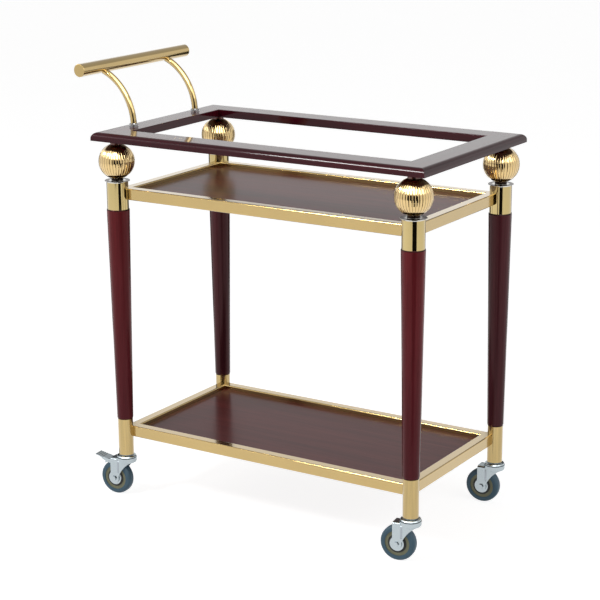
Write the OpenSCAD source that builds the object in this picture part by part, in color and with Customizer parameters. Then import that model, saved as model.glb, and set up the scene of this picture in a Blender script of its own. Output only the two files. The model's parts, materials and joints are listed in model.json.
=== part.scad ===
// Two-tier wine trolley: wooden guard frame and legs, gold tube shelves, four swivel casters.
// The origin is on the floor under the middle, X runs along the length with the handle at -X,
// Y runs from the front to the back, and Z is up.

/* [Layout] */
// Distance between the leg centres along the length
leg_gap_x = 700; // [640:5:760]
// Distance between the leg centres across the width
leg_gap_y = 368; // [340:4:400]

/* [Legs and sleeves] */
// Visible length of a wooden leg
leg_len = 460; // [420:5:500]
// Diameter of a leg at its top
leg_top_d = 48; // [47:0.5:50]
// Diameter of a leg at its bottom
leg_bot_d = 34.5; // [33:0.5:36]
// Outer diameter of an upper sleeve
upper_sleeve_d = 45.5; // [44:0.5:46.5]
// Length of an upper sleeve
upper_sleeve_len = 57; // [54:1:66]
// Outer diameter of a lower sleeve
lower_sleeve_d = 32.5; // [30:0.5:32.5]
// Length of a lower sleeve
lower_sleeve_len = 80; // [76:1:90]
// Wall thickness of the sleeves
sleeve_wall = 2; // [1.5:0.1:2.5]

/* [Guard frame] */
// Width of a wooden rail
rail_w = 61; // [56:1:64]
// Thickness of a rail
rail_h = 17; // [16:0.5:22]
// Radius of the round on the outer upper edge
rail_round = 12; // [8:0.5:12.5]
// How far the rails reach past the leg centres at the ends
rail_over_x = 40; // [38:0.5:42]
// How far the rails reach past the leg centres at the long sides
rail_over_y = 34; // [32:0.5:35]

/* [Balls] */
// Diameter of a ball
ball_d = 75; // [68:1:80]
// Number of flutes round a ball
flutes = 36; // [24:2:40]
// Latitude on a ball at which its flutes end
flute_lat = 45; // [40:1:52]

/* [Shelves] */
// Width of the shelf tube
tube_w = 21.5; // [18:0.5:23]
// Height of the shelf tube
tube_h = 24; // [21:0.5:26]
// How far the ends of a shelf frame lie inside the leg centres
frame_inset_x = 0.5; // [0:0.5:7]
// How far the long sides of a shelf frame lie inside the leg centres
frame_inset_y = 4; // [2:0.5:7]
// How far a board lies below the top of its frame
board_drop = 9; // [6:0.5:9.5]
// Thickness of a board
board_t = 9; // [8:0.5:9]
// Height of the upper frame above the lower end of its sleeves
upper_frame_up = 19; // [14:1:23]
// Height of the lower frame above the lower end of its sleeves
lower_frame_up = 39; // [34:1:44]

/* [Handle] */
// Diameter of the handle bar
bar_d = 27.5; // [22:0.5:28]
// Length of the handle bar with its caps
bar_len = 372; // [330:2:400]
// Diameter of a handle post
post_d = 13; // [11:0.5:14]
// Distance between the posts
post_gap = 220; // [180:2:250]
// Radius of the bend of a post
post_bend_r = 120; // [105:1:140]
// Angle over which a post bends
post_sweep = 71.5; // [65:0.5:78]

/* [Casters] */
// Height of a caster above the top of its wheel
head_h = 21; // [19:0.5:26]
// Diameter of a wheel
wheel_d = 73; // [66:1:80]
// Width of a wheel
wheel_w = 20; // [18:0.5:26]
// Distance of the axle behind the swivel axis
trail = 24.5; // [22:0.5:28]
// Turn of the front left caster away from trailing to the left
turn_fl = 5; // [-20:1:20]
// Turn of the front right caster
turn_fr = 8; // [-20:1:20]
// Turn of the back left caster
turn_bl = 2; // [-20:1:20]
// Turn of the back right caster
turn_br = 5; // [-20:1:20]

/* [Hidden] */
$fn = 72;
eps = 0.01;

// Corners: name, side along X, side along Y, turn of the caster, and whether it has a brake
CORNERS = [
    ["fl", -1, -1, turn_fl, true],
    ["fr", 1, -1, turn_fr, false],
    ["bl", -1, 1, turn_bl, true],
    ["br", 1, 1, turn_br, false]
];
leg_x = leg_gap_x / 2;
leg_y = leg_gap_y / 2;

// Heights from the floor up
caster_h = wheel_d + head_h;
lower_sleeve_z = caster_h;
leg_z = lower_sleeve_z + lower_sleeve_len;
upper_sleeve_z = leg_z + leg_len;
cap_z = upper_sleeve_z + upper_sleeve_len;
cap_h = 3;
cap_flange_r = upper_sleeve_d / 2 + 3.5;
seat_r = 12.5;
seat_h = 2.5;
washer_h = 6.5;
ball_r = ball_d / 2;
ball_z = cap_z + cap_h + seat_h + ball_r;
rail_z = ball_z + ball_r + washer_h;
rail_top_z = rail_z + rail_h;
lower_frame_z = lower_sleeve_z + lower_frame_up;
upper_frame_z = upper_sleeve_z + upper_frame_up;

// Rods, bores and screws
rod_d = 6;
rod_play = 0.6;
rod_bore_d = rod_d + rod_play;
rod_in_rail = rail_h - 5;
rod_in_plug = 16;
plug_h = 52;
stem_d = 11;
stem_len = 30;
spigot_len = 20;
cap_plug_h = 12;

// Guard frame
rail_out_x = leg_x + rail_over_x;
rail_out_y = leg_y + rail_over_y;
rail_in_x = rail_out_x - rail_w;
rail_in_y = rail_out_y - rail_w;
rail_lip_r = 1.5;
biscuit_len = 32;
biscuit_w = 13;
biscuit_t = 3;
biscuit_off = 12;

// Flutes: grooves of a round section whose middle lies just outside the ball's surface
flute_r = 2.2;
flute_out = 1;

// Shelf frames
frame_x = leg_x - frame_inset_x;
frame_y = leg_y - frame_inset_y;
tube_wall = 1.5;
tube_round = 2.5;
board_gap = 0.5;
board_x = frame_x - tube_w - board_gap;
board_y = frame_y - tube_w - board_gap;
tab_w = 20;
tab_len = 14;
tab_t = 3;
screw_d = 4;
screw_head_d = 8;
screw_head_h = 2;
screw_in_board = board_t - 2;
// Places of the tabs along the long sides, as shares of half the length
TAB_SHARES = [-0.66, 0, 0.66];

// Handle
bar_r = bar_d / 2;
bar_wall = 2;
bar_cap_t = 3;
bar_plug_len = 12;
post_r = post_d / 2;
post_x = -(rail_out_x - rail_w / 2);
bar_lift = bar_r - post_r - 0.5;
bar_x = post_x - post_bend_r + (post_bend_r + bar_lift) * cos(post_sweep);
bar_z = rail_top_z + (post_bend_r + bar_lift) * sin(post_sweep);
collar_r = 10;
collar_h = 7;
collar_play = 0.4;
handle_screw_d = 6;
handle_screw_head_d = 11;
handle_screw_head_h = 3;
handle_screw_in_post = 12;

// Casters: heights from the floor, and running play between turning pieces
play = 0.05;
wheel_r = wheel_d / 2;
wheel_z = wheel_r;
stem_drop = 12;
crown_t = 3;
crown_top_z = caster_h - stem_drop;
crown_r = 22;
crown_round = 4.5;
lip_drop = 7;
lip_t = 2.5;
lip_front_x = -2;
kingpin_r = 5;
hub_post_r = 13;
race_in_r = 16;
race_h = 4;
stem_cup_r = 21;
stem_cup_h = 4.5;
hex_w = 19;
hex_h = 3;
rivet_r = 8;
rivet_h = 2;
cheek_t = 2.5;
cheek_gap = 2;
cheek_in_y = wheel_w / 2 + cheek_gap;
cheek_out_y = cheek_in_y + cheek_t;
bore_len = 2 * cheek_out_y + 2;
cheek_r = 11;
strap_rear = 8.7;
gusset_x = 16;
gusset_drop = 6;
gusset_low = 5;
gusset_r = 75;
ear_r = 4.2;
axle_r = 4;
axle_head_r = 5.5;
axle_head_h = 3;
cover_r = 15.5;
cover_t = 1.2;
cover_gap = 0.35;
tyre_t = 10.5;
tyre_round = 6;
tyre_in_r = wheel_r - tyre_t;
hub_groove_r = 19.4;
hub_groove_in_r = 14.5;
hub_groove_t = 4;

// Brake pedal, in the frame of its caster: it turns about a pin behind the top of the wheel
pedal_pin_x = -trail - 13;
pedal_pin_z = crown_top_z - 7.5;
pedal_pin_r = 1.5;
pedal_barrel_r = 2.2;
pedal_side_gap = 0.5;
pedal_w = 2 * (cheek_in_y - pedal_side_gap);
pedal_t = 2;
pedal_rise = 12.5;
pedal_len = 36.5;
pedal_travel = 8;
flange_t = 2;
shoe_gap = 0.4;
shoe_side_gap = 1.5;
shoe_front = 4;
shoe_rear = 10.5;
pedal_grooves = 4;
pedal_groove_w = 2.5;
pedal_groove_t = 0.8;

// Puts its children at every leg centre
module at_legs() {
    for (c = CORNERS) translate([c[1] * leg_x, c[2] * leg_y, 0]) children();
}

// Puts its children at one leg centre
module at_corner(c) {
    translate([c[1] * leg_x, c[2] * leg_y, 0]) children();
}

// Puts a caster's children at its leg, turned to where the wheel trails
module at_caster(c) {
    at_corner(c) rotate([0, 0, c[3]]) children();
}

// Section of a rail: the inner edge is at 0, the outer edge is at rail_w
module rail_section() {
    difference() {
        square([rail_w, rail_h]);
        translate([rail_w - rail_round, rail_h - rail_round]) square(rail_round + 1);
        translate([-1, rail_h - rail_lip_r]) square([rail_lip_r + 1, rail_lip_r + 1]);
    }
    translate([rail_w - rail_round, rail_h - rail_round]) intersection() {
        circle(rail_round);
        square(rail_round + 1);
    }
    translate([rail_lip_r, rail_h - rail_lip_r]) intersection() {
        circle(rail_lip_r);
        translate([-rail_lip_r - 1, 0]) square(rail_lip_r + 1);
    }
}

// A rail of the guard frame along X with its outside to +Y, mitred at both ends
module mitred_rail(len) {
    intersection() {
        translate([len / 2, 0, 0]) rotate([90, 0, -90]) mirror([1, 0, 0])
            linear_extrude(len) rail_section();
        translate([0, 0, -1]) linear_extrude(rail_h + 2) polygon([
            [-len / 2 + rail_w, 0], [len / 2 - rail_w, 0], [len / 2, rail_w], [-len / 2, rail_w]
        ]);
    }
}

// The tongues across the four mitres of the guard frame
module biscuit_set() {
    for (c = CORNERS)
        translate([c[1] * (rail_in_x + biscuit_off), c[2] * (rail_in_y + biscuit_off), rail_z + rail_h / 2])
            rotate([0, 0, -45 * c[1] * c[2]])
                cube([biscuit_len, biscuit_w, biscuit_t], center = true);
}

// Everything that is let into the rails from below: tie rods, tongues and handle screws
module rail_cuts() {
    at_legs() translate([0, 0, rail_z - 1]) cylinder(d = rod_d, h = rod_in_rail + 1);
    biscuit_set();
    for (s = [-1, 1]) translate([post_x, s * post_gap / 2, 0]) {
        translate([0, 0, rail_z - 1]) cylinder(d = handle_screw_d + 0.4, h = rail_h + 2);
        translate([0, 0, rail_z - eps])
            cylinder(d1 = handle_screw_head_d, d2 = handle_screw_d, h = handle_screw_head_h);
    }
}

module top_rail_long(side) {
    color("#4a2226") difference() {
        translate([0, side * rail_in_y, rail_z]) rotate([0, 0, side > 0 ? 0 : 180])
            mitred_rail(2 * rail_out_x);
        rail_cuts();
    }
}

module top_rail_end(side) {
    color("#4a2226") difference() {
        translate([side * rail_in_x, 0, rail_z]) rotate([0, 0, side > 0 ? -90 : 90])
            mitred_rail(2 * rail_out_y);
        rail_cuts();
    }
}

module rail_biscuits() {
    color("#c9a877") biscuit_set();
}

// A ball with its seat side down: a sphere with grooves along its meridians and a bore for the rod
module ball(c) {
    color("#d9b56a") at_corner(c) translate([0, 0, ball_z]) difference() {
        sphere(ball_r);
        for (i = [0 : flutes - 1]) rotate([90, 0, i * 360 / flutes])
            rotate([0, 0, -flute_lat]) rotate_extrude(angle = 2 * flute_lat)
                translate([ball_r + flute_out, 0]) circle(flute_r);
        cylinder(d = rod_bore_d, h = ball_d + 2, center = true);
    }
}

module ball_washers() {
    color("#3a2a18") at_legs() difference() {
        translate([0, 0, rail_z - washer_h - 3]) cylinder(r = seat_r, h = washer_h + 3);
        translate([0, 0, ball_z]) sphere(ball_r);
        translate([0, 0, ball_z]) cylinder(d = rod_bore_d, h = ball_d);
    }
}

// A cap: plug in the sleeve, flared flange, and the seat that the ball stands on
module sleeve_cap(c) {
    in_r = upper_sleeve_d / 2 - sleeve_wall;
    color("#d8d6d0") at_corner(c) translate([0, 0, cap_z]) difference() {
        rotate_extrude() polygon([
            [rod_bore_d / 2, -cap_plug_h], [in_r, -cap_plug_h], [in_r, 0], [upper_sleeve_d / 2, 0],
            [upper_sleeve_d / 2 + 0.6, 1], [cap_flange_r, cap_h - 0.9], [cap_flange_r, cap_h - 0.3],
            [cap_flange_r - 0.5, cap_h], [seat_r, cap_h - 0.4], [seat_r, cap_h + seat_h + 3],
            [rod_bore_d / 2, cap_h + seat_h + 3]
        ]);
        translate([0, 0, ball_z - cap_z]) sphere(ball_r);
    }
}

// A plain tube that stands on its lower end
module sleeve(d, len) {
    difference() {
        cylinder(d = d, h = len);
        translate([0, 0, -1]) cylinder(d = d - 2 * sleeve_wall, h = len + 2);
    }
}

module upper_sleeve(c) {
    color("#c9ab6d") at_corner(c) translate([0, 0, upper_sleeve_z]) sleeve(upper_sleeve_d, upper_sleeve_len);
}

module lower_sleeve(c) {
    color("#c9ab6d") at_corner(c) translate([0, 0, lower_sleeve_z]) sleeve(lower_sleeve_d, lower_sleeve_len);
}

// A leg: spigot, eased lower end, long taper, eased upper end, spigot, and a bore from end to end
module leg(c) {
    low_r = leg_bot_d / 2;
    top_r = leg_top_d / 2;
    low_in = lower_sleeve_d / 2 - sleeve_wall;
    top_in = upper_sleeve_d / 2 - sleeve_wall;
    color("#4a1c22") at_corner(c) translate([0, 0, leg_z]) rotate_extrude() polygon([
        [rod_bore_d / 2, -spigot_len], [low_in, -spigot_len], [low_in, 0],
        [low_r - 3.2, 0], [low_r - 1.6, 0.5], [low_r - 0.5, 1.7], [low_r, 3.6],
        [top_r, leg_len - 2.5], [top_r - 0.4, leg_len - 1], [top_r - 1.1, leg_len],
        [top_in, leg_len], [top_in, leg_len + spigot_len], [rod_bore_d / 2, leg_len + spigot_len]
    ]);
}

// Section of the shelf tube, centred, with rounded corners
module tube_section(w, h, r) {
    square([w - 2 * r, h], center = true);
    square([w, h - 2 * r], center = true);
    for (sx = [-1, 1], sy = [-1, 1]) translate([sx * (w / 2 - r), sy * (h / 2 - r)]) circle(r);
}

// One side of a shelf frame along X with its outside to +Y and mitred ends
module frame_side(len, w, h, r) {
    intersection() {
        translate([-len / 2 - 1, -w / 2, 0]) rotate([90, 0, 90]) linear_extrude(len + 2) tube_section(w, h, r);
        translate([0, -w / 2, -h]) linear_extrude(2 * h) polygon([
            [-len / 2 + w, -w / 2], [len / 2 - w, -w / 2], [len / 2, w / 2], [-len / 2, w / 2]
        ]);
    }
}

// A closed ring of tube: outer half sizes, width, height and corner radius of its section
module tube_ring(hx, hy, w, h, r) {
    for (s = [0, 180]) rotate([0, 0, s]) translate([0, hy, 0]) frame_side(2 * hx, w, h, r);
    for (s = [90, 270]) rotate([0, 0, s]) translate([0, hx, 0]) frame_side(2 * hy, w, h, r);
}

// Puts its children at every tab, with +Y to the frame
module at_tabs() {
    for (t = TAB_SHARES, s = [0, 180])
        rotate([0, 0, s]) translate([t * frame_x, frame_y - tube_w, 0]) children();
    for (s = [90, 270]) rotate([0, 0, s]) translate([0, frame_x - tube_w, 0]) children();
}

// A welded shelf frame with the tabs that carry its board, coped to the four sleeves
module shelf_frame(z, sleeve_d) {
    color("#c9ab6d") translate([0, 0, z]) difference() {
        union() {
            difference() {
                translate([0, 0, tube_h / 2]) tube_ring(frame_x, frame_y, tube_w, tube_h, tube_round);
                translate([0, 0, tube_h / 2]) tube_ring(
                    frame_x - tube_wall, frame_y - tube_wall,
                    tube_w - 2 * tube_wall, tube_h - 2 * tube_wall, tube_round - tube_wall
                );
            }
            at_tabs() translate([-tab_w / 2, -tab_len, tube_h - board_drop - board_t - tab_t])
                cube([tab_w, tab_len + tube_wall / 2, tab_t]);
        }
        at_tabs() translate([0, -tab_len / 2, 0]) cylinder(d = screw_d + 0.5, h = tube_h);
        at_legs() translate([0, 0, -1]) cylinder(d = sleeve_d, h = tube_h + 2);
    }
}

module upper_shelf_frame() {
    shelf_frame(upper_frame_z, upper_sleeve_d);
}

module lower_shelf_frame() {
    shelf_frame(lower_frame_z, lower_sleeve_d);
}

// A board with eased upper edges and blind holes for its screws
module board(z) {
    color("#4d3133") translate([0, 0, z + tube_h - board_drop - board_t]) difference() {
        translate([-board_x, -board_y, 0]) cube([2 * board_x, 2 * board_y, board_t]);
        at_tabs() translate([0, -tab_len / 2, -eps]) cylinder(d = screw_d, h = screw_in_board + eps);
    }
}

module upper_board() {
    board(upper_frame_z);
}

module lower_board() {
    board(lower_frame_z);
}

// A pan head screw that points up, with the top of its head at 0
module board_screw() {
    translate([0, 0, -screw_head_h]) cylinder(d = screw_head_d, h = screw_head_h);
    cylinder(d = screw_d, h = tab_t + screw_in_board);
}

module board_screws() {
    color("#b9bcc0") for (z = [upper_frame_z, lower_frame_z])
        translate([0, 0, z + tube_h - board_drop - board_t - tab_t])
            at_tabs() translate([0, -tab_len / 2, 0]) board_screw();
}

module tie_rods() {
    bottom = lower_sleeve_z + plug_h - rod_in_plug;
    color("#8f9296") at_legs() translate([0, 0, bottom])
        cylinder(d = rod_d, h = rail_z + rod_in_rail - bottom);
}

// A plug in a lower sleeve: the stem of the caster goes in below, the tie rod above
module caster_sockets() {
    color("#8f9296") at_legs() translate([0, 0, lower_sleeve_z]) difference() {
        cylinder(r = lower_sleeve_d / 2 - sleeve_wall, h = plug_h);
        translate([0, 0, -1]) cylinder(d = stem_d, h = stem_len + 1);
        translate([0, 0, plug_h - rod_in_plug]) cylinder(d = rod_d, h = rod_in_plug + 1);
    }
}

// Lays its children, made along Z, along the bar
module along_bar() {
    translate([bar_x, 0, bar_z]) rotate([90, 0, 0]) children();
}

module handle_bar() {
    len = bar_len - 2 * bar_cap_t;
    color("#c9ab6d") along_bar() difference() {
        cylinder(r = bar_r, h = len, center = true);
        cylinder(r = bar_r - bar_wall, h = len + 2, center = true);
    }
}

// An end cap: a disc with an eased rim and a short plug in the bar
module handle_bar_caps() {
    color("#d9b56a") for (s = [0, 180])
        along_bar() rotate([s, 0, 0]) translate([0, 0, bar_len / 2 - bar_cap_t]) rotate_extrude() polygon([
            [0, -bar_plug_len], [bar_r - bar_wall, -bar_plug_len], [bar_r - bar_wall, 0], [bar_r, 0],
            [bar_r, bar_cap_t - 1], [bar_r - 0.3, bar_cap_t - 0.3], [bar_r - 1, bar_cap_t], [0, bar_cap_t]
        ]);
}

// A post: a rod bent outwards, cut to the bar, with a tapped hole in its foot
module handle_post(side) {
    color("#c9ab6d") difference() {
        translate([post_x - post_bend_r, side * post_gap / 2, rail_top_z]) rotate([90, 0, 0])
            rotate_extrude(angle = post_sweep) translate([post_bend_r, 0]) circle(post_r);
        along_bar() cylinder(r = bar_r, h = bar_len, center = true);
        translate([post_x, side * post_gap / 2, rail_top_z - 1])
            cylinder(d = handle_screw_d, h = handle_screw_in_post + 1);
    }
}

module handle_post_front() {
    handle_post(-1);
}

module handle_post_back() {
    handle_post(1);
}

// A turned ring with a foot and a bead round the foot of each post
module handle_collars() {
    color("#dcd6c4") for (s = [-1, 1])
        translate([post_x, s * post_gap / 2, rail_top_z]) rotate_extrude() polygon([
            [post_r + collar_play, 0], [collar_r, 0], [collar_r, 1.4], [collar_r - 1.2, 2.4],
            [collar_r - 1.2, 3.4], [collar_r - 0.4, 4.2], [collar_r - 0.4, 5.4],
            [collar_r - 1.4, 6.4], [collar_r - 2, collar_h], [post_r + collar_play, collar_h]
        ]);
}

module handle_screws() {
    color("#b9bcc0") for (s = [-1, 1]) translate([post_x, s * post_gap / 2, rail_z]) {
        cylinder(d1 = handle_screw_head_d, d2 = handle_screw_d, h = handle_screw_head_h);
        cylinder(d = handle_screw_d, h = rail_h + handle_screw_in_post - 1);
    }
}

// A stem: shaft, hexagon, upper race, and the kingpin with its riveted end below the crown
module caster_stems() {
    color("#c3c8cc") at_legs() {
        translate([0, 0, caster_h]) cylinder(d = stem_d, h = stem_len - 1);
        translate([0, 0, caster_h - hex_h]) cylinder(d = hex_w / cos(30), h = hex_h, $fn = 6);
        translate([0, 0, caster_h - hex_h - stem_cup_h]) rotate_extrude() polygon([
            [0, 0], [stem_cup_r - 1.5, 0], [stem_cup_r, 0.8], [stem_cup_r, 2.2],
            [stem_cup_r - 1, 3.6], [stem_cup_r - 4, stem_cup_h], [0, stem_cup_h]
        ]);
        translate([0, 0, crown_top_z + 2 * play])
            cylinder(r = hub_post_r, h = caster_h - hex_h - stem_cup_h - crown_top_z - 2 * play);
        translate([0, 0, crown_top_z - crown_t - 2 * play]) cylinder(r = kingpin_r, h = crown_t + 1);
        translate([0, 0, crown_top_z - crown_t - 2 * play - rivet_h])
            cylinder(r1 = rivet_r - 2, r2 = rivet_r, h = rivet_h);
    }
}

// Outline of a fork from the side: a strap down to the axle, and a gusset whose front edge
// is hollow, on an arc from the strap to the tip under the crown; with an ear for a brake pedal
module fork_outline(ear) {
    from = [-trail + cheek_r, wheel_z + gusset_low];
    to = [gusset_x, crown_top_z - gusset_drop];
    chord = to - from;
    off = sqrt(pow(gusset_r, 2) - pow(norm(chord) / 2, 2));
    mid = (from + to) / 2 + off * [chord.y, -chord.x] / norm(chord);
    translate([-trail, wheel_z]) circle(cheek_r);
    difference() {
        translate([-trail - strap_rear, wheel_z])
            square([trail + strap_rear + gusset_x, crown_top_z - wheel_z]);
        translate(mid) circle(gusset_r);
    }
    if (ear) translate([pedal_pin_x, pedal_pin_z]) {
        circle(ear_r);
        translate([0, -ear_r]) square([-trail - pedal_pin_x, 2 * ear_r]);
    }
}

// Section of a fork across its width: a channel with round shoulders, open below
module fork_channel() {
    in_round = crown_round - cheek_t;
    difference() {
        rounded_top(cheek_out_y, crown_top_z, crown_round);
        rounded_top(cheek_in_y, crown_top_z - crown_t, in_round);
    }
}

// A block from the floor to a height, with both upper corners rounded
module rounded_top(half_w, top, r) {
    translate([-half_w, 0]) square([2 * half_w, top - r]);
    translate([-half_w + r, 0]) square([2 * (half_w - r), top]);
    for (s = [-1, 1]) translate([s * (half_w - r), top - r]) circle(r);
}

// The turned race at the front of a fork: a ring on the crown, and a lip under its front half
module fork_race() {
    translate([0, 0, crown_top_z - crown_t]) cylinder(r = crown_r, h = crown_t + race_h);
    difference() {
        translate([0, 0, crown_top_z - lip_drop]) rotate_extrude() polygon([
            [crown_r - 5, 0], [crown_r - 2.5, 0], [crown_r - 1, 1], [crown_r, 3],
            [crown_r, lip_drop - crown_t], [crown_r - lip_t, lip_drop - crown_t], [crown_r - 5, 1.5]
        ]);
        translate([lip_front_x - 2 * crown_r, -crown_r - 1, 0]) cube([2 * crown_r, 2 * crown_r + 2, caster_h]);
    }
}

// A fork: channel, race, and bores for kingpin, axle and pedal pin
module fork(c) {
    color("#c3c8cc") at_caster(c) difference() {
        union() {
            intersection() {
                translate([pedal_pin_x - ear_r - 1, 0, 0]) rotate([90, 0, 90])
                    linear_extrude(gusset_x + ear_r - pedal_pin_x + 2) fork_channel();
                rotate([90, 0, 0]) linear_extrude(bore_len, center = true) fork_outline(c[4]);
            }
            fork_race();
        }
        translate([0, 0, crown_top_z]) cylinder(r = race_in_r, h = race_h + 1);
        translate([0, 0, crown_top_z - crown_t - 1]) cylinder(r = kingpin_r + play, h = crown_t + 2);
        translate([-trail, 0, wheel_z]) rotate([90, 0, 0]) cylinder(r = axle_r, h = bore_len, center = true);
        if (c[4]) translate([pedal_pin_x, 0, pedal_pin_z]) rotate([90, 0, 0])
            cylinder(r = pedal_pin_r + play, h = bore_len, center = true);
    }
}

// An axle: shaft with a head at each end, and a dust cover at each side of the hub
module axle(c) {
    cover_y = wheel_w / 2 + cover_gap;
    color("#d5d8da") at_caster(c) translate([-trail, 0, wheel_z]) rotate([90, 0, 0]) {
        cylinder(r = axle_r, h = 2 * cheek_out_y, center = true);
        for (s = [0, 180]) rotate([s, 0, 0]) {
            translate([0, 0, cheek_out_y]) cylinder(r = axle_head_r, h = axle_head_h, $fn = 6);
            translate([0, 0, cover_y]) cylinder(r1 = cover_r, r2 = cover_r - 0.6, h = cover_t);
        }
    }
}

// A tyre: a flat tread with round shoulders
module tyre(c) {
    shoulder_y = wheel_w / 2 - tyre_round;
    color("#4b6474") at_caster(c) translate([-trail, 0, wheel_z]) rotate([90, 0, 0]) rotate_extrude()
        translate([tyre_in_r, 0]) intersection() {
            translate([0, -wheel_w / 2]) square([tyre_t, wheel_w]);
            union() {
                translate([0, -wheel_w / 2]) square([tyre_t - tyre_round, wheel_w]);
                translate([0, -shoulder_y]) square([tyre_t, 2 * shoulder_y]);
                for (s = [-1, 1]) translate([tyre_t - tyre_round, s * shoulder_y]) circle(tyre_round);
            }
        }
}

// A hub: a disc with a bore and a round groove in each face
module hub(c) {
    face = wheel_w / 2;
    rim = wheel_w / 2 - 1.5;
    color("#8d8560") at_caster(c) translate([-trail, 0, wheel_z]) rotate([90, 0, 0]) rotate_extrude() polygon([
        [axle_r + play, -face], [hub_groove_in_r, -face], [hub_groove_in_r, hub_groove_t - face],
        [hub_groove_r, hub_groove_t - face], [hub_groove_r, -rim], [tyre_in_r, -rim],
        [tyre_in_r, rim], [hub_groove_r, rim], [hub_groove_r, face - hub_groove_t],
        [hub_groove_in_r, face - hub_groove_t], [hub_groove_in_r, face], [axle_r + play, face]
    ]);
}

// Turns its children, made with the pedal's pin at the origin and its plate to -X, to the pedal's place
module at_pedal(rise) {
    translate([pedal_pin_x, 0, pedal_pin_z]) rotate([0, rise, 0]) children();
}

// A brake pedal: pin and barrel, a plate that rises to the rear with a flange under each side,
// grooves across it for grip, and a shoe hollowed by the tyre as it is met at the end of the travel
module brake_pedal(c) {
    pin_len = 2 * cheek_out_y + 1;
    shoe_w = pedal_w - 2 * shoe_side_gap;
    color("#cfd3d6") at_caster(c) difference() {
        at_pedal(pedal_rise) {
            rotate([90, 0, 0]) cylinder(r = pedal_pin_r, h = pin_len, center = true);
            rotate([90, 0, 0]) cylinder(r = pedal_barrel_r, h = pedal_w, center = true);
            translate([-pedal_len, -pedal_w / 2, pedal_barrel_r - pedal_t])
                cube([pedal_len, pedal_w, pedal_t]);
            for (s = [0, 1]) translate([0, pedal_w / 2 - s * (pedal_w - flange_t), 0])
                rotate([90, 0, 0]) linear_extrude(flange_t) polygon([
                    [0, 1], [-25, 1], [-25.5, 0], [-21.3, -1.2], [-16.3, -3.6],
                    [-12, -4.4], [-8, -4.2], [-4.5, -2.6], [0, -1.5]
                ]);
            translate([-shoe_rear, -shoe_w / 2, -wheel_r / 2])
                cube([shoe_rear - shoe_front, shoe_w, wheel_r / 2 + pedal_barrel_r - 1]);
        }
        at_pedal(pedal_travel) translate([-trail - pedal_pin_x, 0, wheel_z - pedal_pin_z])
            rotate([90, 0, 0]) cylinder(r = wheel_r + shoe_gap, h = bore_len, center = true);
        at_pedal(pedal_rise) for (i = [0 : pedal_grooves - 1])
            translate([(2 * i + 1) * pedal_groove_w - pedal_len, -pedal_w, pedal_barrel_r - pedal_groove_t])
                cube([pedal_groove_w, 2 * pedal_w, pedal_barrel_r]);
    }
}

top_rail_long(-1);  // top_rail_front
top_rail_long(1);  // top_rail_back
top_rail_end(-1);  // top_rail_left
top_rail_end(1);  // top_rail_right
rail_biscuits();
ball_washers();
for (c = CORNERS) {
    ball(c);
    sleeve_cap(c);
    upper_sleeve(c);
    leg(c);
    lower_sleeve(c);
    fork(c);
    axle(c);
    tyre(c);
    hub(c);
}
upper_shelf_frame();
lower_shelf_frame();
upper_board();
lower_board();
board_screws();
tie_rods();
caster_sockets();
handle_bar();
handle_bar_caps();
handle_post_front();
handle_post_back();
handle_collars();
handle_screws();
caster_stems();
brake_pedal(CORNERS[0]);  // brake_pedal_fl
brake_pedal(CORNERS[2]);  // brake_pedal_bl
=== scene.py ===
import json
import math

import bmesh
import bpy
from mathutils import Matrix, Vector

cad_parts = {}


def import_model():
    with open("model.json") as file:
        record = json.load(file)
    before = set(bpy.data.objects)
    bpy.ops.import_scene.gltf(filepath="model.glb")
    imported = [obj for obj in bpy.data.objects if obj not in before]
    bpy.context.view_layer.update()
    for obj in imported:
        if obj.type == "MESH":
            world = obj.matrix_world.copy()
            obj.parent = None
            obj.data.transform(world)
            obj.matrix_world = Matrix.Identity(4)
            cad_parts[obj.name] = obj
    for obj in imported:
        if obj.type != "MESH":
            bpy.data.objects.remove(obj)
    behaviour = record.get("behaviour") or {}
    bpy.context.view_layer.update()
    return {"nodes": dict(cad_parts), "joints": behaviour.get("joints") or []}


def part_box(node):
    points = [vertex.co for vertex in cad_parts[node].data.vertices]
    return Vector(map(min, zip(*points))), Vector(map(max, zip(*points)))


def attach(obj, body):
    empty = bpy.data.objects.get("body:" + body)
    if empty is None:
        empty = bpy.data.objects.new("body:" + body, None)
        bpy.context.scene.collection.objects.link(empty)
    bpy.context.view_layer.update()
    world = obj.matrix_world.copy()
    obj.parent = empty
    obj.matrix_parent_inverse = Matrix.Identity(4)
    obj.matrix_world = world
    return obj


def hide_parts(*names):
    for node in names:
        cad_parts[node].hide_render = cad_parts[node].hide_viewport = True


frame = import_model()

# Lengths are in metres, and places are in the frame of the part: its origin is on the floor between the
# legs, +X leads away from the handle and +Y to the back.
CORNERS = ("fl", "fr", "bl", "br")
BACK_CORNERS = ("bl", "br")
# The joint that carries each moving body
JOINTS = {joint["child"]: joint for joint in frame["joints"]}

# Camera: place, heading, tilt and roll in radians, focal length and film width in millimetres
CAMERA_AT = Vector((1.9437, -3.0935, 1.4346))
CAMERA_YAW = -0.56566
CAMERA_PITCH = 0.26530
CAMERA_ROLL = -0.00706
CAMERA_LENS = 108.51
FILM_WIDTH = 36.0

# Brightness of the surround to matt surfaces, where 1 is white: at the horizon and overhead
DIFFUSE_HORIZON = 0.85
DIFFUSE_ZENITH = 0.12
# Brightness of the surround in reflections: in general, overhead, and high up behind the trolley
GLOSS_BRIGHT = 1.0
GLOSS_OVERHEAD = 0.5
GLOSS_BACK_HIGH = 0.55
# Sines of the heights between which one level turns into the next
RISE_DIFFUSE = (0.0, 0.7)
RISE_OVERHEAD = (0.80, 0.92)
RISE_BACK_HIGH = (0.34, 0.46)
# How far a direction leads to the camera's side where the part behind the trolley begins and is full
TURN_BACK = (0.1, -0.2)

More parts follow.
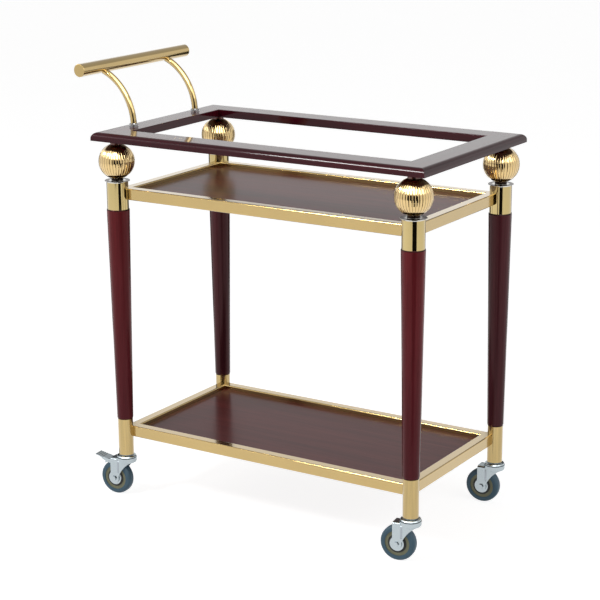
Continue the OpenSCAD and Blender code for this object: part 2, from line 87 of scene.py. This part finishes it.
# Floor: half its width, its two tones, and its own light to the camera and to reflections
FLOOR_HALF = 12.0
FLOOR_DARK = (0.50, 0.50, 0.50)
FLOOR_LIGHT = (0.52, 0.52, 0.52)
FLOOR_GLOW = 0.84

# How much light a black and a grey studio cloth send back, and the multiples of it in the weave
BLACK_CLOTH = 0.015
GREY_CLOTH = 0.2
WEAVE_DARK = 0.8
WEAVE_LIGHT = 1.2

# Wood: scale of its pores and of its slow streaks, across the grain and along it
PORES_ACROSS = 260.0
PORES_ALONG = 9.0
STREAKS_ACROSS = 22.0
STREAKS_ALONG = 1.2
# Multiple of the dark stain in the pores
PORE_SHADE = 0.45
# Heights between which a leg's wood shows and its painted shade fades from the foot, and the painted shadow
# line under the sleeve at its top
LEG_FOOT_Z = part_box("lower_sleeve_fl")[1].z
LEG_TOP_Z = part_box("upper_sleeve_fl")[0].z
PAINTED_SHADOW_LINE = 0.003
PAINTED_SHADOW_COLOUR = (0.002, 0.001, 0.001)

# Plated metal: scale of its drift of tone, of its streaks, across and along, and of its grain
DRIFT = 9.0
PLATE_STREAKS_ACROSS = 110.0
PLATE_STREAKS_ALONG = 5.0
PLATE_GRAIN = 700.0
# Multiples of the colour where the tone is deepest, and of the roughness where it is smoothest and roughest
DRIFT_SHADE = 0.9
STREAK_SHADE = 0.72
SMOOTHEST = 0.8
ROUGHEST = 1.3
# Height above which the flared cap of a sleeve is painted dark as painted shade and painted reflection of
# the ball over it, half the width of the change, and its stain
CAP_SPLIT_Z = 0.69375
CAP_SPLIT_HALF = 0.00005
CAP_STAIN = (0.02, 0.015, 0.01)

# Fluted balls: radius, number of flutes, share of a flute that is hollow, and its depth
BALL_R = 0.0375
FLUTES = 36
FLUTE_SHARE = 0.5
FLUTE_DEEP = 0.0005
# Latitudes where the flutes end and where they have their full depth
FLUTE_END = math.radians(50)
FLUTE_FULL = math.radians(36)
# Half width of the painted dark reflection line in a flute, as a share of the flute
PAINTED_LINE_HALF = 0.05
STEPS_PER_FLUTE = 12
BALL_RINGS = 96

# The two sides of a wheel, as multiples of its axis
SIDES = (("out", -1), ("in", 1))
# Seals of a hub: inner and outer radius, distance of their inner face from the middle, thickness
SEAL_IN_R = 0.0147
SEAL_OUT_R = 0.0192
SEAL_FACE = 0.0088
SEAL_T = 0.0006
LATHE_STEPS = 96

# Creases of a fork: distance of a cheek's face from the middle, and their places beside and above the axle
CHEEK_OUT = 0.0145
CREASE_FROM_AXLE = 0.0105
CREASE_LOW = 0.013
CREASE_HIGH = 0.039
# Half width of a crease, how far it stands out of the cheek and how far it is let in
CREASE_HALF = 0.0022
CREASE_OUT = 0.0012
CREASE_SUNK = 0.0004
# Share of its length over which it runs out at either end
CREASE_RUN_OUT = 1 / 6
CREASE_STEPS = 16
# Its section: shares of the half width across and of the height out
CREASE_SECTION = ((-1, 0), (-0.8, 0.4), (-0.4, 0.85), (0, 1), (0.4, 0.85), (0.8, 0.4), (1, 0))

# Where most lamps aim, and the two places on the floor that most flags are measured from
AIM = (0, 0, 0.7)
CENTRE = (0.0, 0.0)
FRONT_RIGHT = JOINTS["caster_fr"]["pos_m"][:2]
# Bearing of what the front right post mirrors, in degrees from +X
POST_MIRRORS = -50.3


# Node materials

class Graph:
    """A node tree under construction: short names for its nodes and links."""

    def __init__(self, tree):
        self.nodes = tree.nodes
        self.links = tree.links

    def add(self, kind, **inputs):
        """A node of that kind, with values for inputs by name, spaces as underscores."""
        node = self.nodes.new(kind)
        for key, value in inputs.items():
            node.inputs[key.replace("_", " ")].default_value = value
        return node

    def link(self, output, socket):
        self.links.new(output, socket)

    def feed(self, socket, value):
        """Gives a socket a number, a colour, or what another node puts out."""
        if isinstance(value, (int, float)):
            socket.default_value = value
        elif isinstance(value, tuple):
            socket.default_value = (*value, 1.0)
        else:
            self.link(value, socket)

    def math(self, operation, *values):
        node = self.add("ShaderNodeMath")
        node.operation = operation
        for socket, value in zip(node.inputs, values):
            self.feed(socket, value)
        return node.outputs["Value"]

    def range(self, value, low, high, start=0.0, end=1.0, kind="LINEAR"):
        """What goes from low to high while the value goes from start to end."""
        node = self.add("ShaderNodeMapRange", From_Min=start, From_Max=end, To_Min=low, To_Max=high)
        node.interpolation_type = kind
        self.link(value, node.inputs["Value"])
        return node.outputs["Result"]

    def soft_step(self, value, start, end):
        """A soft step from 0 to 1 while the value goes from start to end."""
        return self.range(value, 0.0, 1.0, start, end, "SMOOTHSTEP")

    def blend(self, share, first, second):
        """The first number at a share of 0, and the second at a share of 1."""
        return self.math("MULTIPLY_ADD", share, self.math("SUBTRACT", second, first), first)


class Shader(Graph):
    """A material under construction round its Principled shader."""

    def __init__(self, name):
        self.material = bpy.data.materials.new(name)
        self.material.use_nodes = True
        super().__init__(self.material.node_tree)
        self.bsdf = self.nodes["Principled BSDF"]

    def set(self, **values):
        """Sets sockets of the shader itself, by name with spaces as underscores."""
        for key, value in values.items():
            self.bsdf.inputs[key.replace("_", " ")].default_value = value

    def height(self):
        """The height above the floor."""
        where = self.add("ShaderNodeTexCoord")
        axes = self.add("ShaderNodeSeparateXYZ")
        self.link(where.outputs["Object"], axes.inputs["Vector"])
        return axes.outputs["Z"]

    def noise(self, scale, detail, roughness, distortion=0.0, axis=None, along=None):
        """Noise over the object's coordinates. It can have another scale along one axis."""
        scales = [scale] * 3
        if axis is not None:
            scales[axis] = along
        where = self.add("ShaderNodeTexCoord")
        mapping = self.add("ShaderNodeMapping", Scale=scales)
        self.link(where.outputs["Object"], mapping.inputs["Vector"])
        node = self.add("ShaderNodeTexNoise", Scale=1.0, Detail=detail, Roughness=roughness,
                        Distortion=distortion)
        self.link(mapping.outputs["Vector"], node.inputs["Vector"])
        return node.outputs["Fac"]

    def ramp(self, value, *stops):
        """A colour ramp between two stops, each a place and a colour."""
        node = self.add("ShaderNodeValToRGB")
        for element, (place, colour) in zip(node.color_ramp.elements, stops):
            element.position = place
            element.color = (*colour, 1.0)
        self.link(value, node.inputs["Fac"])
        return node.outputs["Color"]

    def mix(self, factor, first, second, blend="MIX"):
        """A mix of two colours. They and the factor are values or what other nodes put out."""
        node = self.add("ShaderNodeMix")
        node.data_type = "RGBA"
        node.blend_type = blend
        self.feed(node.inputs[0], factor)
        self.feed(node.inputs[6], first)
        self.feed(node.inputs[7], second)
        return node.outputs[2]

    def colour(self, output):
        self.link(output, self.bsdf.inputs["Base Color"])

    def roughness(self, value, low, high):
        """Lets the roughness go from low to high with a value between 0 and 1."""
        self.link(self.range(value, low, high), self.bsdf.inputs["Roughness"])

    def bump(self, height, strength, distance):
        node = self.add("ShaderNodeBump", Strength=strength, Distance=distance)
        self.link(height, node.inputs["Height"])
        self.link(node.outputs["Normal"], self.bsdf.inputs["Normal"])


def times(colour, factor):
    return tuple(factor * part for part in colour)


def wood(name, dark, light, grain_axis, roughness, sheen, coat, coat_roughness=0.08, tint=(1.0, 1.0, 1.0),
         painted_shade_at_foot=None):
    """Stained wood with its grain along an axis: fine pores, slow streaks and a lacquer coat. A leg gives
    what its stain is multiplied by at the foot, as painted shade, and has a painted shadow line under its
    upper sleeve."""
    mat = Shader(name)
    streaks = mat.noise(STREAKS_ACROSS, detail=5.0, roughness=0.55, distortion=0.6,
                        axis=grain_axis, along=STREAKS_ALONG)
    pores = mat.noise(PORES_ACROSS, detail=3.0, roughness=0.6, axis=grain_axis, along=PORES_ALONG)
    tone = mat.ramp(streaks, (0.3, dark), (0.7, light))
    if painted_shade_at_foot:
        # Painted shade: the stain is multiplied down to the given colour towards the foot
        foot_shade = mat.range(mat.height(), low=1.0, high=0.0, start=LEG_FOOT_Z, end=LEG_TOP_Z)
        tone = mat.mix(foot_shade, tone, painted_shade_at_foot, blend="MULTIPLY")
        # Painted shadow: a dark line just under the upper sleeve
        seam_shadow = mat.range(mat.height(), 0.0, 1.0, start=LEG_TOP_Z - PAINTED_SHADOW_LINE, end=LEG_TOP_Z - PAINTED_SHADOW_LINE / 2)
        tone = mat.mix(seam_shadow, tone, PAINTED_SHADOW_COLOUR)
    deep = mat.range(pores, low=0.0, high=0.45, start=0.45, end=0.75)
    mat.colour(mat.mix(deep, tone, times(dark, PORE_SHADE)))
    mat.roughness(streaks, low=roughness - 0.04, high=roughness + 0.05)
    mat.set(IOR=1.5, Specular_IOR_Level=sheen, Specular_Tint=(*tint, 1.0),
            Coat_Weight=coat, Coat_Roughness=coat_roughness, Coat_IOR=1.3)
    mat.bump(pores, strength=0.05, distance=0.0003)
    return mat.material


def guard_wood(name, grain_axis):
    """The dark mahogany of the guard frame."""
    return wood(name, (0.032, 0.001, 0.005), (0.080, 0.003, 0.010), grain_axis, roughness=0.30, sheen=0.04,
                coat=0.9, coat_roughness=0.05)


def leg_wood(name, dark, light, tint, painted_shade_at_foot):
    """The redder wood of a leg, with upright grain, painted shade towards the foot and a painted shadow line
    under its sleeve.
    """
    return wood(name, dark, light, grain_axis=2, roughness=0.22, sheen=0.24, coat=0.16, coat_roughness=0.12,
                tint=tint, painted_shade_at_foot=painted_shade_at_foot)


def plated(name, colour, roughness, streak_axis=None, coat=1.0):
    """Plated metal: a slight drift of tone or streaks along an axis, fine grain and a clear lacquer coat."""
    mat = Shader(name)
    if streak_axis is None:
        drift = mat.noise(DRIFT, detail=3.0, roughness=0.6)
        deep = times(colour, DRIFT_SHADE)
    else:
        drift = mat.noise(PLATE_STREAKS_ACROSS, detail=3.0, roughness=0.6,
                          axis=streak_axis, along=PLATE_STREAKS_ALONG)
        deep = times(colour, STREAK_SHADE)
    mat.colour(mat.mix(mat.range(drift, low=0.0, high=1.0, start=0.25, end=0.75), deep, colour))
    mat.roughness(drift, low=SMOOTHEST * roughness, high=ROUGHEST * roughness)
    mat.set(Metallic=1.0, Coat_Weight=coat, Coat_Roughness=0.05, Coat_IOR=1.5)
    mat.bump(mat.noise(PLATE_GRAIN, detail=2.0, roughness=0.6), strength=0.02, distance=0.00003)
    return mat.material


def cap_plate_painted_shade(name, low, high, roughness):
    """Plated metal with one finish below a sharp edge and another above it, which on the cap is painted
    shade and painted reflection of the ball, and a slight stain.
    """
    mat = Shader(name)
    drift = mat.noise(scale=40.0, detail=3.0, roughness=0.6)
    below_edge = CAP_SPLIT_Z - CAP_SPLIT_HALF
    above_edge = CAP_SPLIT_Z + CAP_SPLIT_HALF
    # Painted shade and reflection: the finish above the edge
    shaded_top = mat.range(mat.height(), 0.0, 1.0, start=below_edge, end=above_edge)
    mat.colour(mat.mix(mat.range(drift, low=0.0, high=0.25), mat.mix(shaded_top, low, high), CAP_STAIN))
    mat.roughness(drift, low=SMOOTHEST * roughness, high=ROUGHEST * roughness)
    mat.set(Metallic=1.0)
    return mat.material


def rubber(name, colour):
    """Rubber with dust in patches and fine pits."""
    mat = Shader(name)
    dust = mat.noise(scale=60.0, detail=5.0, roughness=0.65)
    mat.colour(mat.mix(dust, times(colour, 0.8), times(colour, 1.15)))
    mat.roughness(dust, low=0.42, high=0.6)
    mat.set(Specular_IOR_Level=0.45)
    mat.bump(mat.noise(scale=900.0, detail=2.0, roughness=0.5), strength=0.12, distance=0.0001)
    return mat.material


def plastic(name, colour):
    """Moulded plastic with a slight drift of tone and fine grain."""
    mat = Shader(name)
    drift = mat.noise(scale=45.0, detail=4.0, roughness=0.6)
    mat.colour(mat.mix(drift, times(colour, 0.85), times(colour, 1.1)))
    mat.roughness(drift, low=0.38, high=0.5)
    mat.bump(mat.noise(scale=1200.0, detail=2.0, roughness=0.5), strength=0.1, distance=0.00008)
    return mat.material


GUARD_X = guard_wood("guard_lacquer_x", grain_axis=0)
GUARD_Y = guard_wood("guard_lacquer_y", grain_axis=1)
LEG = leg_wood("leg_lacquer", (0.105, 0.011, 0.014), (0.210, 0.022, 0.028), tint=(1.0, 0.3, 0.3),
               painted_shade_at_foot=(0.60, 0.9, 1.0))
# The back legs: the leg wood darker all over, as painted shade
LEG_BACK_PAINTED_SHADE = leg_wood("leg_lacquer_back_painted_shade", (0.048, 0.009, 0.013), (0.092, 0.018, 0.025), tint=(1.0, 0.5, 0.5),
                    painted_shade_at_foot=(0.70, 0.8, 0.8))
BOARD = wood("board_lacquer", (0.080, 0.013, 0.013), (0.140, 0.026, 0.025), grain_axis=0, roughness=0.45,
             sheen=0.02, coat=0.55, coat_roughness=0.2)
BARE = wood("bare_beech", (0.42, 0.27, 0.14), (0.55, 0.38, 0.22), grain_axis=0, roughness=0.6, sheen=0.3,
            coat=0.0)
GOLD = plated("gold_plate", (0.53, 0.375, 0.14), roughness=0.12)
SLEEVE_GOLD = plated("sleeve_gold_plate", (0.55, 0.42, 0.165), roughness=0.06)
TUBE_GOLD = plated("tube_gold_plate", (0.54, 0.39, 0.15), roughness=0.14, streak_axis=2)
BALL_GOLD = plated("ball_gold_plate", (0.74, 0.54, 0.24), roughness=0.04)
# Painted reflection: the darker metal in the middle of each flute
FLUTE_PAINTED_REFLECTION = plated("flute_painted_reflection", (0.34, 0.19, 0.07), roughness=0.25, coat=0.0)
BRIGHT = plated("bright_trim", (0.42, 0.42, 0.42), roughness=0.05)
# The cap: bright below the split, painted shade and reflection of the ball above it
CAP = cap_plate_painted_shade("cap_plate_painted_shade", (0.78, 0.78, 0.75), (0.03, 0.02, 0.015), roughness=0.12)
BRONZE = plated("dark_bronze", (0.09, 0.03, 0.02), roughness=0.25)
ZINC = plated("zinc_plate", (0.56, 0.57, 0.58), roughness=0.3, coat=0.0)
CASTER = plated("caster_steel", (0.47, 0.53, 0.56), roughness=0.2, coat=0.0)
# The creases: darker steel than the fork, as painted shade
CREASE = plated("crease_painted_shade_steel", (0.40, 0.44, 0.48), roughness=0.35, coat=0.0)
TYRE = rubber("tyre_rubber", (0.055, 0.118, 0.168))
HUB = plastic("hub_plastic", (0.22, 0.22, 0.13))
SEAL = plastic("seal_plastic", (0.006, 0.007, 0.006))

# Finish of each CAD node, by its name, or by its name without the corner
FINISHES = {
    "top_rail_front": GUARD_X, "top_rail_back": GUARD_X, "top_rail_left": GUARD_Y, "top_rail_right": GUARD_Y,
    "rail_biscuits": BARE, "ball": BALL_GOLD, "ball_washers": BRONZE, "sleeve_cap": CAP,
    "upper_sleeve": SLEEVE_GOLD, "leg": LEG, "lower_sleeve": TUBE_GOLD, "tie_rods": ZINC,
    "caster_sockets": ZINC, "upper_shelf_frame": GOLD, "lower_shelf_frame": GOLD, "upper_board": BOARD,
    "lower_board": BOARD, "board_screws": ZINC, "handle_bar": GOLD, "handle_bar_caps": GOLD,
    "handle_post_front": GOLD, "handle_post_back": GOLD, "handle_collars": BRIGHT, "handle_screws": ZINC,
    "caster_stems": CASTER, "fork": CASTER, "axle": CASTER, "tyre": TYRE, "hub": HUB, "brake_pedal": CASTER,
}


def finish_of(name):
    """The finish of a CAD node. The back legs are darker than the front ones: a copy of the leg wood with
    painted shade.
    """
    if name in FINISHES:
        return FINISHES[name]
    kind, corner = name.rsplit("_", 1)
    return LEG_BACK_PAINTED_SHADE if kind == "leg" and corner in BACK_CORNERS else FINISHES[kind]


for node_name, node in frame["nodes"].items():
    node.data.materials.clear()
    node.data.materials.append(finish_of(node_name))


# Pieces that show more than their solids

def smooth(share):
    """A soft step from 0 to 1."""
    share = min(max(share, 0.0), 1.0)
    return share * share * (3 - 2 * share)


def new_mesh(name, verts, faces):
    mesh = bpy.data.meshes.new(name)
    mesh.from_pydata([tuple(vert) for vert in verts], [], faces)
    return mesh


def closed_mesh(name, verts, faces):
    """A closed mesh with its faces turned outwards."""
    mesh = new_mesh(name, verts, faces)
    turned = bmesh.new()
    turned.from_mesh(mesh)
    bmesh.ops.recalc_face_normals(turned, faces=turned.faces)
    turned.to_mesh(mesh)
    turned.free()
    return mesh


def new_object(name, data):
    thing = bpy.data.objects.new(name, data)
    bpy.context.scene.collection.objects.link(thing)
    return thing


def new_piece(name, mesh, materials, body):
    thing = new_object(name, mesh)
    for material in materials:
        mesh.materials.append(material)
    mesh.shade_smooth()
    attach(thing, body)
    return thing


def latitude(ring):
    return -math.pi / 2 + math.pi * ring / BALL_RINGS


def beside_flute(step):
    """How far a step round a ball lies from the middle of its flute, as a share of the flute."""
    return step % STEPS_PER_FLUTE / STEPS_PER_FLUTE - 0.5


def ball_radius(ring, step):
    """The radius of a ball at a ring and a step, which is less in a flute."""
    depth = FLUTE_DEEP * smooth((FLUTE_END - abs(latitude(ring))) / (FLUTE_END - FLUTE_FULL))
    aside = beside_flute(step)
    hollow = math.cos(math.pi * aside / FLUTE_SHARE) ** 2 if abs(aside) < FLUTE_SHARE / 2 else 0.0
    return BALL_R - depth * hollow


def in_painted_line(ring, step):
    """Whether the middle of a face lies on the painted dark reflection line in a flute."""
    fluted = abs(latitude(ring)) < (FLUTE_END + FLUTE_FULL) / 2
    return fluted and abs(beside_flute(step)) < PAINTED_LINE_HALF


def fluted_ball(corner):
    """A ball whose flutes run out softly towards both poles, with a painted dark reflection line in their
    depth.
    """
    low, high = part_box("ball_" + corner)
    centre = (low + high) / 2
    around = FLUTES * STEPS_PER_FLUTE
    verts = [centre - Vector((0, 0, BALL_R))]
    for ring in range(1, BALL_RINGS):
        rise = latitude(ring)
        level = math.cos(rise)
        for step in range(around):
            turn = 2 * math.pi * step / around
            outward = Vector((level * math.cos(turn), level * math.sin(turn), math.sin(rise)))
            verts.append(centre + ball_radius(ring, step) * outward)
    verts.append(centre + Vector((0, 0, BALL_R)))
    faces, painted_line = [], []
    top = len(verts) - 1
    last = 1 + (BALL_RINGS - 2) * around
    for step in range(around):
        beside = (step + 1) % around
        faces.append((0, 1 + beside, 1 + step))
        painted_line.append(0)
        for ring in range(BALL_RINGS - 2):
            lower = 1 + ring * around
            upper = lower + around
            faces.append((lower + step, lower + beside, upper + beside, upper + step))
            painted_line.append(1 if in_painted_line(ring + 1.5, step + 0.5) else 0)
        faces.append((last + step, last + beside, top))
        painted_line.append(0)
    name = "fluted_ball_" + corner
    mesh = new_mesh(name, verts, faces)
    mesh.polygons.foreach_set("material_index", painted_line)
    ball = new_piece(name, mesh, [BALL_GOLD, FLUTE_PAINTED_REFLECTION], "trolley")
    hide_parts("ball_" + corner)


def strip(lower, upper, count):
    """The faces between two closed rows of so many points, each row given by its first point."""
    faces = []
    for point in range(count):
        beside = (point + 1) % count
        faces.append((lower + point, lower + beside, upper + beside, upper + point))
    return faces


def lathe(name, place, outward, profile):
    """A turned ring: (radius, distance) pairs round an axis through a place, distances along the axis."""
    outward = outward.normalized()
    side = outward.cross(Vector((0, 0, 1))).normalized()
    up = side.cross(outward)
    verts, faces = [], []
    for radius, along in profile:
        for step in range(LATHE_STEPS):
            turn = 2 * math.pi * step / LATHE_STEPS
            verts.append(place + along * outward + radius * (math.cos(turn) * side + math.sin(turn) * up))
    for row in range(len(profile)):
        after = (row + 1) % len(profile)
        faces += strip(row * LATHE_STEPS, after * LATHE_STEPS, LATHE_STEPS)
    return closed_mesh(name, verts, faces)


def wheel_axis(corner):
    """The centre of a wheel, and the direction of its axis."""
    spin = JOINTS["wheel_" + corner]
    return Vector(spin["pos_m"]), Vector(spin["axis"])


def hub_seals(corner):
    """Black seals in the grooves of a hub, one on each side."""
    centre, axis = wheel_axis(corner)
    profile = [(SEAL_IN_R, 0.0), (SEAL_OUT_R, 0.0), (SEAL_OUT_R, SEAL_T), (SEAL_IN_R, SEAL_T)]
    for side, sign in SIDES:
        name = "hub_seal_" + side + "_" + corner
        outward = sign * axis
        mesh = lathe(name, centre + SEAL_FACE * outward, outward, profile)
        new_piece(name, mesh, [SEAL], "wheel_" + corner)


def crease(name, centre, outward, along):
    """A low rounded rib up a cheek, which runs out softly at both ends."""
    verts, faces = [], []
    for step in range(CREASE_STEPS + 1):
        share = step / CREASE_STEPS
        up = CREASE_LOW + share * (CREASE_HIGH - CREASE_LOW)
        height = CREASE_OUT * smooth(share / CREASE_RUN_OUT) * smooth((1 - share) / CREASE_RUN_OUT)
        foot = centre + CHEEK_OUT * outward + CREASE_FROM_AXLE * along + Vector((0, 0, up))
        for across, out in CREASE_SECTION:
            rise = out * height if out > 0 else -CREASE_SUNK
            verts.append(foot + across * CREASE_HALF * along + rise * outward)
    count = len(CREASE_SECTION)
    for step in range(CREASE_STEPS):
        faces += strip(count * step, count * (step + 1), count)
    faces.append(tuple(range(count)))
    faces.append(tuple(count * CREASE_STEPS + point for point in reversed(range(count))))
    return closed_mesh(name, verts, faces)


def fork_creases(corner):
    """The pressed crease on both cheeks of a fork, where the strap meets the gusset, in darker steel as
    painted shade.
    """
    centre, axis = wheel_axis(corner)
    along = Vector((axis.y, -axis.x, 0.0))
    for side, sign in SIDES:
        name = "fork_crease_" + side + "_" + corner
        mesh = crease(name, centre, sign * axis, along)
        new_piece(name, mesh, [CREASE], "caster_" + corner)


for corner in CORNERS:
    fluted_ball(corner)
    hub_seals(corner)
    fork_creases(corner)


# Stage: a pale floor, a white surround, lamps, flags and the camera

def sheet(name, corners, material):
    """A flat sheet of the studio, which isn't part of the trolley."""
    mesh = new_mesh(name, corners, [(0, 1, 2, 3)])
    mesh.materials.append(material)
    thing = new_object(name, mesh)
    return thing


def floor():
    """The floor. It gives light of its own to the camera and to reflections, and keeps the shadow."""
    mat = Shader("floor_paint")
    mat.colour(mat.mix(mat.noise(scale=3.0, detail=2.0, roughness=0.5), FLOOR_DARK, FLOOR_LIGHT))
    mat.set(Roughness=0.9, Specular_IOR_Level=0.1, Emission_Color=(1.0, 1.0, 1.0, 1.0))
    path = mat.add("ShaderNodeLightPath")
    seen = mat.math("MAXIMUM", path.outputs["Is Camera Ray"], path.outputs["Is Glossy Ray"])
    seen = mat.math("MAXIMUM", seen, path.outputs["Is Transmission Ray"])
    mat.link(mat.math("MULTIPLY", seen, FLOOR_GLOW), mat.bsdf.inputs["Emission Strength"])
    half = FLOOR_HALF
    sheet("floor", [(-half, -half, 0), (half, -half, 0), (half, half, 0), (-half, half, 0)], mat.material)


def world():
    """White to the camera, and to matt surfaces brighter round the sides than overhead. Reflections find a
    surround that is dimmer overhead and high up behind the trolley."""
    studio = bpy.data.worlds.new("studio")
    bpy.context.scene.world = studio
    studio.use_nodes = True
    graph = Graph(studio.node_tree)
    direction = graph.add("ShaderNodeTexCoord").outputs["Generated"]
    path = graph.add("ShaderNodeLightPath")
    axes = graph.add("ShaderNodeSeparateXYZ")
    graph.link(direction, axes.inputs["Vector"])
    height = axes.outputs["Z"]
    toward = graph.add("ShaderNodeVectorMath")
    toward.operation = "DOT_PRODUCT"
    graph.link(direction, toward.inputs[0])
    toward.inputs[1].default_value = (-math.sin(CAMERA_YAW), -math.cos(CAMERA_YAW), 0.0)
    behind = graph.soft_step(toward.outputs["Value"], *TURN_BACK)
    back_high = graph.math("MULTIPLY", behind, graph.soft_step(height, *RISE_BACK_HIGH))
    gloss = graph.blend(back_high, GLOSS_BRIGHT, GLOSS_BACK_HIGH)
    gloss = graph.blend(graph.soft_step(height, *RISE_OVERHEAD), gloss, GLOSS_OVERHEAD)
    matt = graph.blend(graph.soft_step(height, *RISE_DIFFUSE), DIFFUSE_HORIZON, DIFFUSE_ZENITH)
    lit = graph.blend(path.outputs["Is Glossy Ray"], matt, gloss)
    seen = graph.math("MAXIMUM", path.outputs["Is Camera Ray"], path.outputs["Is Transmission Ray"])
    background = graph.nodes["Background"]
    background.inputs["Color"].default_value = (1.0, 1.0, 1.0, 1.0)
    graph.link(graph.blend(seen, lit, 1.0), background.inputs["Strength"])


def flag(name, start, end, bottom, top, shade=BLACK_CLOTH):
    """A studio flag of dark cloth over a line on the floor, which only reflections meet."""
    mat = Shader(name + "_cloth")
    weave = mat.noise(scale=200.0, detail=2.0, roughness=0.5)
    mat.colour(mat.mix(weave, (WEAVE_DARK * shade,) * 3, (WEAVE_LIGHT * shade,) * 3))
    mat.set(Roughness=1.0, Specular_IOR_Level=0.0)
    corners = [(*start, bottom), (*end, bottom), (*end, top), (*start, top)]
    cloth = sheet(name, corners, mat.material)
    for ray in ("camera", "diffuse", "shadow", "transmission", "volume_scatter"):
        setattr(cloth, "visible_" + ray, False)


def flag_at(name, near, bearing, distance, width, bottom, top, shade=BLACK_CLOTH):
    """A flag square to its bearing from a place. Bearings are in degrees from +X."""
    turn = math.radians(bearing)
    x, y = near[0] + distance * math.cos(turn), near[1] + distance * math.sin(turn)
    dx, dy = -math.sin(turn) * width / 2, math.cos(turn) * width / 2
    flag(name, (x - dx, y - dy), (x + dx, y + dy), bottom, top, shade)


def lamp(name, at, aim, size, level, lights=True):
    """A rectangular lamp as bright as level, where 1 is white. One that lights nothing only shows in
    reflections."""
    data = bpy.data.lights.new(name, "AREA")
    data.shape = "RECTANGLE"
    data.size, data.size_y = size
    data.energy = level * math.pi * size[0] * size[1]
    thing = new_object(name, data)
    thing.location = at
    thing.rotation_euler = (Vector(aim) - Vector(at)).to_track_quat("-Z", "Y").to_euler()
    thing.visible_diffuse = lights


def camera():
    """The camera at the photograph's viewing angle."""
    data = bpy.data.cameras.new("camera")
    data.sensor_fit = "HORIZONTAL"
    data.sensor_width = FILM_WIDTH
    data.lens = CAMERA_LENS
    thing = new_object("camera", data)
    level = math.cos(CAMERA_PITCH)
    forward = Vector((level * math.sin(CAMERA_YAW), level * math.cos(CAMERA_YAW), -math.sin(CAMERA_PITCH)))
    across = Vector((math.cos(CAMERA_YAW), -math.sin(CAMERA_YAW), 0.0))
    upright = across.cross(forward)
    right = math.cos(CAMERA_ROLL) * across + math.sin(CAMERA_ROLL) * upright
    up = -math.sin(CAMERA_ROLL) * across + math.cos(CAMERA_ROLL) * upright
    turn = Matrix((right, up, -forward)).transposed().to_4x4()
    thing.matrix_world = Matrix.Translation(CAMERA_AT) @ turn
    bpy.context.scene.camera = thing


floor()
world()
lamp("key", (-1.45, -2.4, 2.9), AIM, size=(0.85, 0.55), level=26.0)
lamp("left", (-3.0, -1.2, 2.3), AIM, size=(2.4, 1.4), level=2.0)
lamp("right", (3.1, -0.3, 2.3), AIM, size=(2.4, 1.4), level=2.0)
lamp("key_gloss", (-1.42, -2.35, 2.84), AIM, size=(0.85, 0.6), level=22.0, lights=False)
lamp("front", (1.1, -2.9, 2.8), AIM, size=(3.6, 1.6), level=4.5, lights=False)
lamp("ceiling", (0.95, -1.1, 3.1), (0.95, -1.1, 0.0), size=(2.6, 2.2), level=3.5, lights=False)
flag_at("flag_slim", FRONT_RIGHT, POST_MIRRORS, distance=1.134, width=0.86, bottom=0.15, top=0.54)
flag_at("flag_low", FRONT_RIGHT, POST_MIRRORS, distance=0.62, width=0.31, bottom=0.0, top=0.40,
        shade=GREY_CLOTH)
flag("flag_wide", (0.0, -2.37), (2.7, -1.9), bottom=0.24, top=1.35)
flag_at("flag_left", CENTRE, bearing=157, distance=1.5, width=0.8, bottom=0.0, top=0.9)
flag_at("flag_back", CENTRE, bearing=87, distance=1.5, width=0.8, bottom=0.0, top=0.9)
camera()
bpy.context.scene.view_settings.view_transform = "Standard"
